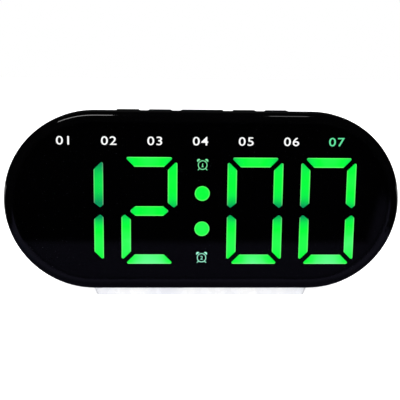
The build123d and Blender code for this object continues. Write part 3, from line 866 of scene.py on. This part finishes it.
@dataclass(frozen=True)
class PrintedText:
    """Plain numbers printed on the film.

    Attributes:
        cap_height: The height of a number.
        thickness: The thickness of the print.
        weight: How far the strokes are thickened.
        tracking: The space between the numbers, as a share of the usual.
        stretch: How much wider than usual the numbers are.
        cap_share: The height of a number as a share of the type size.
        smoothness: How many steps a curve of the outline has.
        weld: How near two points are joined.
    """

    cap_height: float = 3.65 * MM
    thickness: float = 0.05 * MM
    weight: float = 0.006
    tracking: float = 1.12
    stretch: float = 1.26
    cap_share: float = 0.73
    smoothness: int = 4
    weld: float = 0.001 * MM

    def add_to(self, mesher: Mesher, words: str, at: Vector) -> None:
        """Add numbers to a piece, centred on a place on the film's front.

        Args:
            mesher: The piece that gets them.
            words: The numbers.
            at: Their middle, on the back of the print.
        """
        size = self.cap_height / self.cap_share
        curve = bpy.data.curves.new("number", type="FONT")
        curve.body = words
        curve.size = size
        curve.offset = self.weight * size
        curve.space_character = self.tracking
        curve.extrude = self.thickness / 2
        curve.resolution_u = self.smoothness
        text = bpy.data.objects.new("number", curve)
        mesh = bpy.data.meshes.new_from_object(text)
        xs = [vertex.co.x for vertex in mesh.vertices]
        ys = [vertex.co.y for vertex in mesh.vertices]
        middle = Vector(((min(xs) + max(xs)) / 2, (min(ys) + max(ys)) / 2, -self.thickness / 2))
        wider = Matrix.Diagonal((self.stretch, 1, 1, 1))
        mesh.transform(Matrix.Translation(at) @ UPRIGHT @ wider @ Matrix.Translation(-middle))
        mesher.bm.from_mesh(mesh)
        bpy.data.objects.remove(text)
        bpy.data.curves.remove(curve)
        bpy.data.meshes.remove(mesh)
        bmesh.ops.remove_doubles(mesher.bm, verts=mesher.bm.verts, dist=self.weld)


@dataclass
class AlarmSymbol:
    """A bell clock in outline: a ring, two bells, two feet and a number.

    Attributes:
        ring_radius: The outside of the ring.
        ring_bore: The inside of the ring.
        bell_radius: The radius of a bell.
        bell_lean: How far a bell leans from upright.
        bell_gap: The gap between a bell and the ring.
        foot_length: How far a foot reaches out of the ring.
        foot_width: The width of a foot.
        foot_lean: How far a foot leans from straight down.
        base_width: The width of the bar that a 1 stands on.
        base_height: The height of that bar.
        figure: The number.
        drop: How far the ring's middle lies under the symbol's middle.
        sides: How many sides a round has.
    """

    ring_radius: float = 1.97 * MM
    ring_bore: float = 1.66 * MM
    bell_radius: float = 0.78 * MM
    bell_lean: float = math.radians(41)
    bell_gap: float = 0.38 * MM
    foot_length: float = 0.9 * MM
    foot_width: float = 0.3 * MM
    foot_lean: float = math.radians(42)
    base_width: float = 0.86 * MM
    base_height: float = 0.3 * MM
    figure: PrintedText = PrintedText(cap_height=1.6 * MM, weight=0.008, stretch=1.1)
    drop: float = 0.25 * MM
    sides: int = 32

    def build(self, name: str, number: str, at: Vector, material: bpy.types.Material) -> bpy.types.Object:
        """Build one symbol.

        Args:
            name: The piece's name.
            number: The number inside the ring.
            at: The symbol's middle, on the back of the print.
            material: Its finish.

        Returns:
            The piece.
        """
        mesher = Mesher(name)
        self._ring(mesher.bm)
        for side in (-1, 1):
            self._bell(mesher.bm, side)
            self._foot(mesher.bm, side)
        if number == "1":
            self._base(mesher.bm)
        mesher.thicken(self.figure.thickness)
        middle = at - Vector((0, 0, self.drop))
        place = Matrix.Translation(middle) @ UPRIGHT
        bmesh.ops.transform(mesher.bm, matrix=place, verts=mesher.bm.verts)
        self.figure.add_to(mesher, number, middle)
        return mesher.finish(material)

    def _ring(self, bm: bmesh.types.BMesh) -> None:
        """Add the ring, flat.

        Args:
            bm: The mesh that gets it.
        """
        edges: list[bmesh.types.BMEdge] = []
        for radius in (self.ring_radius, self.ring_bore):
            made = bmesh.ops.create_circle(bm, cap_ends=False, segments=self.sides, radius=radius)
            edges += list({edge for vertex in made["verts"] for edge in vertex.link_edges})
        bmesh.ops.bridge_loops(bm, edges=edges)

    def _bell(self, bm: bmesh.types.BMesh, side: int) -> None:
        """Add one bell, a disc cut flat where it faces the ring.

        Args:
            bm: The mesh that gets it.
            side: -1 for the left bell, and 1 for the right.
        """
        lean = side * self.bell_lean
        out = Vector((math.sin(lean), math.cos(lean), 0))
        seat = out * (self.ring_radius + self.bell_gap)
        disc = {"segments": self.sides, "radius": self.bell_radius, "matrix": Matrix.Translation(seat)}
        points = bmesh.ops.create_circle(bm, cap_ends=True, **disc)["verts"]
        faces = list({face for vertex in points for face in vertex.link_faces})
        edges = list({edge for face in faces for edge in face.edges})
        cut = {"plane_co": seat, "plane_no": out, "clear_inner": True}
        bmesh.ops.bisect_plane(bm, geom=points + edges + faces, **cut)

    def _foot(self, bm: bmesh.types.BMesh, side: int) -> None:
        """Add one foot, a short bar that leans outwards.

        Args:
            bm: The mesh that gets it.
            side: -1 for the left foot, and 1 for the right.
        """
        length = self.foot_length + (self.ring_radius - self.ring_bore) / 2
        middle = (self.ring_radius + self.ring_bore) / 2 + length / 2
        turn = Matrix.Rotation(side * self.foot_lean, 4, "Z")
        self._bar(bm, turn @ Matrix.Translation((0, -middle, 0)), self.foot_width, length)

    def _base(self, bm: bmesh.types.BMesh) -> None:
        """Add the bar that a 1 stands on."""
        foot = (self.base_height - self.figure.cap_height) / 2
        self._bar(bm, Matrix.Translation((0, foot, 0)), self.base_width, self.base_height)

    def _bar(self, bm: bmesh.types.BMesh, place: Matrix, width: float, height: float) -> None:
        """Add a flat bar.

        Args:
            bm: The mesh that gets it.
            place: Where it goes.
            width: Its width.
            height: Its height.
        """
        size = Matrix.Diagonal((width, height, 1, 1))
        bmesh.ops.create_grid(bm, x_segments=1, y_segments=1, size=0.5, matrix=place @ size)


@dataclass
class PrintedMarks:
    """Everything printed on the film: seven numbers in a row, and the two alarm symbols.

    Attributes:
        white: The light of the first six numbers.
        green: The light of the last number.
        mint: The light of the upper alarm symbol.
        pale_mint: The light of the lower alarm symbol.
        air: The gap between the print and the film.
        lift: How far the row's numbers stand over the middle of their windows.
        count: How many numbers the row has.
        well_width: The width of the window behind each of them.
    """

    white: Finish = LitPrint("white_print", (0.98, 0.98, 0.98))
    green: Finish = LitPrint("green_print", (0.12, 0.72, 0.33))
    mint: Finish = LitPrint("mint_print", (0.21, 0.85, 0.38))
    pale_mint: Finish = LitPrint("pale_mint_print", (0.38, 1.0, 0.72))
    air: float = 0.01 * MM
    lift: float = 0.3 * MM
    count: int = 7
    well_width: float = 8.5 * MM

    def build(self) -> list[tuple[bpy.types.Object, str]]:
        """Build the print.

        Returns:
            Each piece, with the name of a slot beside it.
        """
        film_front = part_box("mask_film")[0].y - self.air
        middle, half = halve(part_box("label_windows"))
        pitch = (2 * half.x - self.well_width) / (self.count - 1)
        first = middle.x - half.x + self.well_width / 2
        rise = middle.z + self.lift
        numbers = PrintedText()
        row = Mesher("row_numbers")
        last = Mesher("last_number")
        for number in range(self.count):
            mesher = last if number == self.count - 1 else row
            at = Vector((first + number * pitch, film_front, rise))
            numbers.add_to(mesher, f"{number + 1:02d}", at)
        pieces = [
            (row.finish(self.white.material()), "milky_diffuser"),
            (last.finish(self.green.material()), "lit_green"),
        ]
        middle, half = halve(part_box("icon_windows"))
        symbols = (("upper", "1", 1, self.mint), ("lower", "2", -1, self.pale_mint))
        for name, number, side, finish in symbols:
            at = Vector((middle.x, film_front, middle.z + side * (half.z - half.x)))
            symbol = AlarmSymbol().build(f"{name}_alarm_symbol", number, at, finish.material())
            pieces.append((symbol, "lit_green"))
        return pieces


@dataclass
class BatteryCells:
    """Two small cells, side by side and in opposite directions, in shrunk sleeves.

    Attributes:
        sleeve: The finish of the sleeve.
        band: The finish of its coloured end.
        steel: The finish of the bare ends.
        body_length: The length of a cell without its nub.
        nub_length: How far the nub stands out of a cell.
        nub_radius: The nub's radius.
        crimp: How far the sleeve's shrunk ends reach in and along.
        rim_share: The radius of the bare end as a share of the cell's radius.
        band_share: The length of the coloured band as a share of the cell.
        steps: How many sides a cell has.
        weld: How near two points are joined.
    """

    sleeve: Finish = MouldedPlastic("cell_sleeve", (0.02, 0.02, 0.024), 0.3)
    band: Finish = PlatedMetal("cell_band", (0.75, 0.36, 0.16), 0.24)
    steel: Finish = PlatedMetal("cell_steel", (0.72, 0.71, 0.7), 0.22)
    body_length: float = 43.6 * MM
    nub_length: float = 0.8 * MM
    nub_radius: float = 1.9 * MM
    crimp: float = 0.45 * MM
    rim_share: float = 0.82
    band_share: float = 0.28
    steps: int = 48
    weld: float = 0.005 * MM

    def build(self) -> bpy.types.Object:
        """Build both cells.

        Returns:
            The piece.
        """
        middle, half = halve(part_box("battery_cells"))
        mesher = Mesher("wrapped_cells")
        for side, turn in ((1, 0.0), (-1, math.pi)):
            at = middle + Vector((0, 0, side * (half.z - half.y)))
            place = Matrix.Translation(at) @ Matrix.Rotation(turn, 4, "Z")
            self._cell(mesher.bm, place, half.x, half.y)
        return mesher.finish(*(finish.material() for finish in (self.sleeve, self.band, self.steel)))

    def _cell(self, bm: bmesh.types.BMesh, place: Matrix, reach: float, radius: float) -> None:
        """Spin one cell about X.

        Args:
            bm: The mesh that gets it.
            place: Where the cell goes.
            reach: How far the nub's tip lies from the bay's middle.
            radius: The cell's radius.
        """
        shoulder = reach - self.nub_length
        tail = shoulder - self.body_length
        rim = radius * self.rim_share
        band = shoulder - self.body_length * self.band_share
        sleeve, copper, steel = range(3)
        outline = [
            (tail, 0),
            (tail, rim),
            (tail + self.crimp / 2, rim + self.crimp / 2),
            (tail + self.crimp, radius),
            (band, radius),
            (shoulder - self.crimp, radius),
            (shoulder, radius - self.crimp),
            (shoulder, rim),
            (shoulder - self.crimp / 2, rim),
            (shoulder - self.crimp / 2, self.nub_radius),
            (reach - self.crimp / 2, self.nub_radius),
            (reach, self.nub_radius - self.crimp / 2),
            (reach, 0),
        ]
        before = set(bm.faces)
        points = [bm.verts.new((along, out, 0)) for along, out in outline]
        edges = [bm.edges.new(pair) for pair in zip(points, points[1:])]
        turn = {"cent": (0, 0, 0), "axis": (1, 0, 0), "angle": math.tau}
        bmesh.ops.spin(bm, geom=points + edges, steps=self.steps, use_merge=True, **turn)
        faces = [face for face in bm.faces if face not in before]
        for face in faces:
            along = face.calc_center_median().x
            out = max(math.hypot(vertex.co.y, vertex.co.z) for vertex in face.verts)
            at_shoulder = shoulder - self.crimp / 4 < along < shoulder + self.crimp / 8
            if out <= rim + self.crimp / 8 and not at_shoulder:
                face.material_index = steel
            else:
                face.material_index = copper if along > band else sleeve
            face.smooth = True
        verts = list({vertex for face in faces for vertex in face.verts})
        bmesh.ops.remove_doubles(bm, verts=verts, dist=self.weld)
        fresh = [face for face in bm.faces if face not in before]
        bmesh.ops.recalc_face_normals(bm, faces=fresh)
        moved = list({vertex for face in fresh for vertex in face.verts})
        bmesh.ops.transform(bm, matrix=place, verts=moved)


class Look(Enum):
    """How the clock's own parts are finished."""

    FILM = MouldedPlastic("printed_film", (0.0002, 0.0002, 0.0003), 0.9, relief=0.002 * MM, specular=0.0)
    CASE = MouldedPlastic("case_plastic", (0.012, 0.012, 0.013), 0.42)
    KEY = MouldedPlastic("key_plastic", (0.006, 0.006, 0.007), 0.3, grain=0.25 * MM, relief=0.006 * MM)
    DARK = MouldedPlastic("smoked_diffuser", (0.0002, 0.0003, 0.0003), 0.8, relief=0.002 * MM, specular=0.0)
    MILKY = MouldedPlastic("milky_plastic", (0.72, 0.74, 0.74), 0.45)
    LED = MouldedPlastic("led_resin", (0.78, 0.74, 0.5), 0.25, relief=0.003 * MM)
    CHIP = MouldedPlastic("chip_epoxy", (0.018, 0.018, 0.02), 0.5, grain=0.15 * MM)
    NYLON = MouldedPlastic("plug_nylon", (0.7, 0.67, 0.56), 0.4)
    TIP = MouldedPlastic("plunger_plastic", (0.12, 0.12, 0.13), 0.4)
    SOUNDER = MouldedPlastic("sounder_plastic", (0.014, 0.014, 0.015), 0.38, grain=0.5 * MM)
    BOARD = CircuitBoard()
    STEEL = PlatedMetal("screw_steel", (0.5, 0.5, 0.52), 0.3)
    CAN = PlatedMetal("can_aluminium", (0.72, 0.73, 0.75), 0.3, (1.0, 0.15, 1.0))
    NICKEL = PlatedMetal("contact_nickel", (0.68, 0.66, 0.62), 0.2)
    RIBBON = RibbonCable()
    RED = SoftRubber("red_lead", (0.32, 0.012, 0.01), 0.45)
    BLUE = SoftRubber("blue_lead", (0.012, 0.05, 0.24), 0.45)
    YELLOW = SoftRubber("yellow_lead", (0.45, 0.3, 0.02), 0.45)
    FOOT = MilkyFoot()
    PAD = SoftRubber("pad_rubber", (0.035, 0.035, 0.036))
    LENS = SmokedAcrylic()


KEY_NAMES = ("mode", "set", "snooze", "up", "down")

NODE_LOOKS: dict[Look, tuple[str, ...]] = {
    Look.LENS: ("front_lens",),
    Look.FILM: ("mask_film",),
    Look.CASE: ("front_case", "rear_shell", "battery_door"),
    Look.KEY: tuple(f"{name}_key" for name in KEY_NAMES),
    Look.TIP: tuple(f"{name}_plunger" for name in KEY_NAMES),
    Look.DARK: ("unlit_segments",),
    Look.MILKY: ("icon_windows", "label_windows"),
    Look.LED: ("segment_leds",),
    Look.CHIP: ("driver_chips", "clock_chip", "switch_bodies"),
    Look.NYLON: ("board_connectors",),
    Look.SOUNDER: ("sounder", "power_socket"),
    Look.BOARD: ("main_board", "key_board"),
    Look.STEEL: ("board_screws", "case_screws", "key_board_screws", "crystal"),
    Look.CAN: ("capacitors",),
    Look.NICKEL: ("contact_plates", "contact_springs", "socket_pin"),
    Look.RIBBON: ("key_ribbon",),
    Look.RED: ("battery_leads",),
    Look.BLUE: ("sounder_leads",),
    Look.YELLOW: ("socket_leads",),
    Look.FOOT: ("base_foot",),
    Look.PAD: ("foot_pads",),
}


@dataclass
class Viewpoint:
    """The photograph's viewpoint, in millimetres and degrees.

    Attributes:
        distance: From the camera to the point that it looks at.
        yaw: How far the camera looks to the right of straight back.
        pitch: How far it looks down.
        roll: How far it is tipped.
        target: The point that it looks at.
        focal_pixels: The focal length in pixels of the picture.
        picture_pixels: The picture's width in pixels.
        sensor: The sensor's width.
        near: How near the camera starts to see.
    """

    distance: float = 330.4
    yaw: float = 2.311
    pitch: float = 10.28
    roll: float = 0.644
    target: Vector = field(default_factory=lambda: Vector((-1.26, -19.0, 44.156)))
    focal_pixels: float = 799.2
    picture_pixels: float = 400.0
    sensor: float = 36.0
    near: float = 10.0

    def build(self) -> None:
        """Make the camera and look through it."""
        yaw, pitch, roll = (math.radians(turn) for turn in (self.yaw, self.pitch, self.roll))
        flat = math.cos(pitch)
        ahead = Vector((math.sin(yaw) * flat, math.cos(yaw) * flat, -math.sin(pitch)))
        right = Vector((math.cos(yaw), -math.sin(yaw), 0))
        up = right.cross(ahead)
        tipped_right = math.cos(roll) * right + math.sin(roll) * up
        tipped_up = math.cos(roll) * up - math.sin(roll) * right
        lens = bpy.data.cameras.new("viewpoint")
        lens.sensor_width = self.sensor
        lens.lens = self.focal_pixels / self.picture_pixels * self.sensor
        lens.clip_start = self.near * MM
        camera = add_object("viewpoint", lens)
        axes = Matrix((tipped_right, tipped_up, -ahead)).transposed().to_4x4()
        camera.matrix_world = Matrix.Translation((self.target - self.distance * ahead) * MM) @ axes
        bpy.context.scene.camera = camera


@dataclass(frozen=True)
class Lamp:
    """A soft rectangular lamp that faces the clock.

    Attributes:
        name: Its name.
        place: Its middle, in metres.
        size: Its width and height, in metres.
        power: Its power, in watts.
        mirrored: Whether glossy surfaces mirror it.
    """

    name: str
    place: Triple
    size: Pair
    power: float
    mirrored: bool = True

    def build(self, aim: Vector) -> None:
        """Make the lamp, level from side to side.

        Args:
            aim: The point whose depth and height it faces.
        """
        light = bpy.data.lights.new(self.name, "AREA")
        light.shape = "RECTANGLE"
        light.size, light.size_y = self.size
        light.energy = self.power
        lamp = add_object(self.name, light)
        place = Vector(self.place)
        level = Vector((place.x, aim.y, aim.z))
        turn = (place - level).to_track_quat("Z", "Y").to_matrix().to_4x4()
        lamp.matrix_world = Matrix.Translation(place) @ turn
        lamp.visible_glossy = self.mirrored
        lamp.visible_camera = False


@dataclass
class Studio:
    """A pale floor under soft lamps, with the dark end of the room in front of the clock.

    Attributes:
        floor_size: The floor's width.
        floor_colour: Its colour.
        lift: How much whiter the floor looks to the camera.
        mirrored_floor: The floor's colour in mirrors, in front of the clock.
        dark_from: How far in front of the clock the mirrored floor darkens, from and to, in metres.
        dark_bend: How far to each side the dark edge runs straight, in metres.
        dark_climb: How fast it draws away beyond that.
        dark_sides: How far to each side it darkens, from and to, in metres.
        pale_from: Between which distances back of the lens's front it turns pale, in metres.
        painted_shadow: How far in front of the lens the clock's painted shade fades on the mirrored floor,
            in metres.
        painted_shadow_share: How bright the floor is in that painted shade, as a share.
        daylight: The strength of the light from all round.
        dusk: How bright the room looks in mirrors.
        backdrop: How bright the backdrop behind the clock looks in mirrors.
        backdrop_back: Where it starts and is full, from the side to straight back, from 0 to 1.
        backdrop_rise: Where it starts and is full, from level to straight up, from 0 to 1.
        lamps: The lamps.
    """

    floor_size: float = 6.0
    floor_colour: Colour = (0.9, 0.9, 0.9)
    lift: float = 0.76
    mirrored_floor: Colour = (0.118, 0.112, 0.19)
    dark_from: Pair = (0.1, 0.12)
    dark_bend: float = 0.098
    dark_climb: float = 3.2
    dark_sides: Pair = (0.13, 0.16)
    pale_from: Pair = (0.04, 0.26)
    painted_shadow: float = 0.03
    painted_shadow_share: float = 0.3
    daylight: float = 0.75
    dusk: float = 0.005
    backdrop: float = 0.07
    backdrop_back: Pair = (0.4, 0.8)
    backdrop_rise: Pair = (0.4, 0.75)
    lamps: tuple[Lamp, ...] = (
        Lamp("left_strip", (-0.395, -0.473, 1.031), (0.57, 0.12), 1.65),
        Lamp("right_strip", (0.186, -0.396, 1.014), (0.065, 0.12), 0.068),
        Lamp("overhead", (0.1, 0.1, 1.3), (1.2, 1.0), 9.0, False),
        Lamp("low_fill", (-0.1, -0.9, 0.22), (1.0, 0.35), 6.6, False),
    )

    def build(self) -> None:
        """Set up the floor, the room and the lamps."""
        self._floor()
        self._room()
        low, high = (Vector(corner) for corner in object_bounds())
        for lamp in self.lamps:
            lamp.build((low + high) / 2)
        bpy.context.scene.view_settings.view_transform = "Standard"

    def _floor(self) -> None:
        """Lay the floor."""
        mesher = Mesher("floor")
        bmesh.ops.create_grid(mesher.bm, x_segments=1, y_segments=1, size=self.floor_size / 2)
        floor = mesher.finish(self._floor_paint())
        floor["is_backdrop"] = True

    def _floor_paint(self) -> bpy.types.Material:
        """Make the floor's material.

        Returns:
            A pale matt floor, white to the camera, and in mirrors dark in front of the clock, with the
            clock's shade painted on it near the lens.
        """
        paint = Paint("floor_paint")
        straight, glossy = paint.rays()
        x, depth, _ = paint.axes()
        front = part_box("front_lens")[0].y
        ahead = front - depth
        spread = paint.maths("MAXIMUM", abs(x) - self.dark_bend, 0.0) * self.dark_climb
        lit = (1 - (ahead - spread).step(*self.dark_from)) * (1 - abs(x).step(*self.dark_sides))
        # Painted shade: in mirrors the floor is darker close in front of the lens, as the clock's own
        # shade.
        lit = lit * between((self.painted_shadow_share, 1.0), ahead.step(0.0, self.painted_shadow))
        matt = paint.node("ShaderNodeBsdfDiffuse", inputs={"Color": self.floor_colour}).outputs[0]
        glow = paint.light(WHITE, straight * self.lift)
        pale = paint.node("ShaderNodeAddShader", inputs={0: matt, 1: glow}).outputs[0]
        dim = paint.light(self.mirrored_floor, lit)
        mirrored = glossy * (1 - (depth - front).step(*self.pale_from))
        mix = paint.node("ShaderNodeMixShader", inputs={0: mirrored, 1: pale, 2: dim}).outputs[0]
        paint.output("ShaderNodeOutputMaterial", mix)
        return paint.material

    def _room(self) -> None:
        """Light the room: white to the camera, pale to matt surfaces, a dim backdrop in mirrors."""
        world = bpy.data.worlds.new("room")
        world.use_nodes = True
        bpy.context.scene.world = world
        shader = Shader(world.node_tree)
        straight, glossy = shader.rays()
        way = shader.node("ShaderNodeTexCoord").outputs["Generated"]
        parts = shader.node("ShaderNodeSeparateXYZ", inputs={"Vector": way}).outputs
        back, rise = Value(shader, parts["Y"]), Value(shader, parts["Z"])
        backdrop = back.step(*self.backdrop_back) * rise.step(*self.backdrop_rise)
        mirrored = self.dusk + backdrop * self.backdrop
        level = straight + (1 - straight) * (glossy * mirrored + (1 - glossy) * self.daylight)
        seen = {"Color": WHITE, "Strength": level}
        background = shader.node("ShaderNodeBackground", inputs=seen)
        shader.output("ShaderNodeOutputWorld", background.outputs[0])


@dataclass
class DeskClock:
    """The whole clock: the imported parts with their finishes, and the pieces that this script adds.

    Attributes:
        nodes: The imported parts, by name.
        windows: The lit windows of the display, with their level, climb, fall and lean.
    """

    nodes: dict[str, bpy.types.Object]
    windows: tuple[LitWindow, ...] = (
        LitDigit("hour_tens_light", LIT_GREEN, "hour_tens_segments", 0.4, 0.37, 0.7),
        LitDigit("hour_units_light", LIT_GREEN, "hour_units_segments", 0.6, 0.17, 0.62),
        LitDigit("minute_tens_light", LIT_GREEN, "minute_tens_segments", 0.54, 0.15, 0.74),
        LitDigit("minute_units_light", LIT_GREEN, "minute_units_segments", 0.58, 0.16, 0.7, lean=0.09),
        LitDots("colon_light", LIT_GREEN, "colon_dots", 0.66, 0.05, 0.08, grain=2.5 * MM, mottle=0.25),
    )

    def dress(self) -> None:
        """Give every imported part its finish."""
        for look, names in NODE_LOOKS.items():
            material = look.value.material()
            for name in names:
                self._paint(name, material)
        for window in self.windows:
            self._paint(window.node, window.material())

    def _paint(self, name: str, material: bpy.types.Material) -> None:
        """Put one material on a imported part.

        Args:
            name: The part's name.
            material: Its finish.
        """
        mesh = self.nodes[name].data
        mesh.materials.clear()
        mesh.materials.append(material)
        log.info("dressed %s in %s", name, material.name)

    def add_pieces(self) -> None:
        """Build the print and the wrapped cells, and let them ride on the case."""
        for piece, slot in PrintedMarks().build():
            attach(piece, "case")
            log.info("printed %s", piece.name)
        cells = BatteryCells().build()
        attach(cells, "case")
        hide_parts("battery_cells")
        log.info("wrapped %s", cells.name)


def main() -> None:
    """Load the frame, dress the clock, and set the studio."""
    logging.basicConfig(level=logging.INFO, format="%(message)s")
    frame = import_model()
    Viewpoint().build()
    clock = DeskClock(frame["nodes"])
    clock.dress()
    clock.add_pieces()
    Studio().build()


if __name__ == "__main__":
    main()
